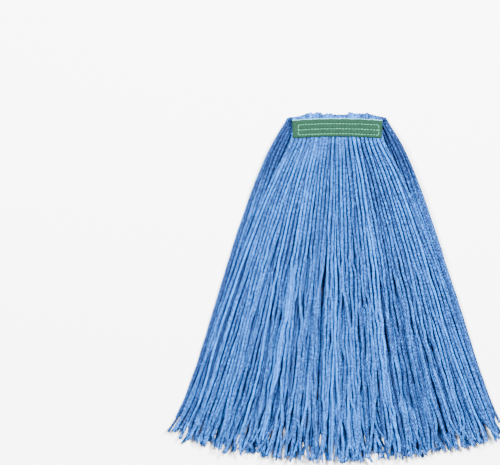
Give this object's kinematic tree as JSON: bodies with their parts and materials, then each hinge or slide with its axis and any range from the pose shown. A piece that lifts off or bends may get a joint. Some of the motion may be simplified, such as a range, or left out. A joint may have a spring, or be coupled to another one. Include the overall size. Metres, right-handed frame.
{
  "type": "string mop head",
  "caption": "Wet mop head: twisted yarn with cut ends, sewn through the middle under a narrow tape headband and fanned out in a front and a back fringe.",
  "frame": {"origin": "on the surface that the mop lies on, below the middle of its outline", "axes": "X runs across the mop along the headband, the yarn runs from the headband towards -Y, and +Z is out of the front face"},
  "size_m": [0.4652, 0.495, 0.0247],
  "materials": {
    "yarn": "soft matt blue blended yarn, loosely twisted and slightly fuzzy",
    "tape": "green woven mesh tape, matt, with a pale selvedge",
    "thread": "pale green polyester sewing thread with a slight sheen"
  },
  "bodies": {
    "headband": {"headband_tape": "tape", "yarn_core": "yarn", "front_stitch_row_1": "thread", "front_stitch_row_2": "thread", "front_stitch_row_3": "thread", "front_stitch_end_left": "thread", "front_stitch_end_right": "thread", "back_stitch_row_1": "thread", "back_stitch_row_2": "thread", "back_stitch_row_3": "thread", "back_stitch_end_left": "thread", "back_stitch_end_right": "thread", "yarn_fold_1": "yarn", "yarn_fold_2": "yarn", "yarn_fold_3": "yarn", "yarn_fold_4": "yarn", "yarn_fold_5": "yarn", "yarn_fold_6": "yarn", "yarn_fold_7": "yarn", "yarn_fold_8": "yarn"},
    "front_fringe": {"front_lock_01": "yarn", "front_lock_02": "yarn", "front_lock_03": "yarn", "front_lock_04": "yarn", "front_lock_05": "yarn", "front_lock_06": "yarn", "front_lock_07": "yarn", "front_lock_08": "yarn", "front_lock_09": "yarn", "front_lock_10": "yarn", "front_lock_11": "yarn", "front_lock_12": "yarn", "front_lock_13": "yarn", "front_lock_14": "yarn", "front_lock_15": "yarn", "front_lock_16": "yarn", "front_lock_17": "yarn", "front_lock_18": "yarn"},
    "back_fringe": {"back_lock_01": "yarn", "back_lock_02": "yarn", "back_lock_03": "yarn", "back_lock_04": "yarn", "back_lock_05": "yarn", "back_lock_06": "yarn", "back_lock_07": "yarn", "back_lock_08": "yarn", "back_lock_09": "yarn", "back_lock_10": "yarn", "back_lock_11": "yarn", "back_lock_12": "yarn", "back_lock_13": "yarn", "back_lock_14": "yarn", "back_lock_15": "yarn", "back_lock_16": "yarn", "back_lock_17": "yarn", "back_lock_18": "yarn", "back_lock_19": "yarn", "back_lock_20": "yarn"}
  },
  "joints": [
    {"name": "front_fringe_swing", "type": "hinge", "parent": "headband", "child": "front_fringe", "pos_m": [0, 0.209, 0.027], "axis": [-1, 0, 0], "range_deg": [0, 178]},
    {"name": "back_fringe_unfold", "type": "hinge", "parent": "headband", "child": "back_fringe", "pos_m": [0, 0.2378, 0.01215], "axis": [1, 0, 0], "range_deg": [0, 178], "deforming": ["yarn_fold_1", "yarn_fold_2", "yarn_fold_3", "yarn_fold_4", "yarn_fold_5", "yarn_fold_6", "yarn_fold_7", "yarn_fold_8"]}
  ]
}
